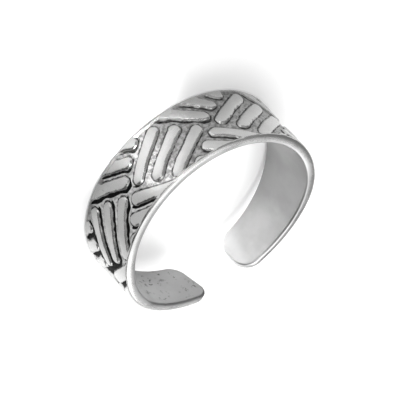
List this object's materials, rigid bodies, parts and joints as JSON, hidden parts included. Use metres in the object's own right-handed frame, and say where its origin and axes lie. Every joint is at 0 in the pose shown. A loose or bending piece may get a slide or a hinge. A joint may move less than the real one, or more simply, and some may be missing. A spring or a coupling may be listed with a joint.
{
  "type": "toe ring",
  "caption": "Open, adjustable toe ring in oxidised silver with a raised diagonal basket-weave pattern and plain, narrowing arms.",
  "frame": {"origin": "on the axis of the toe hole, at the plane of the lower rim", "axes": "+Z along the axis of the toe hole, up as the ring lies on its side; -Y towards the middle of the patterned front; +Y towards the gap"},
  "size_m": [0.0166, 0.0164, 0.0055],
  "materials": {
    "silver": "cast silver, polished on the bars and rims, satin on the inner wall, darkened in the ground of the pattern"
  },
  "bodies": {
    "root": {"ring": "silver"}
  },
  "joints": []
}
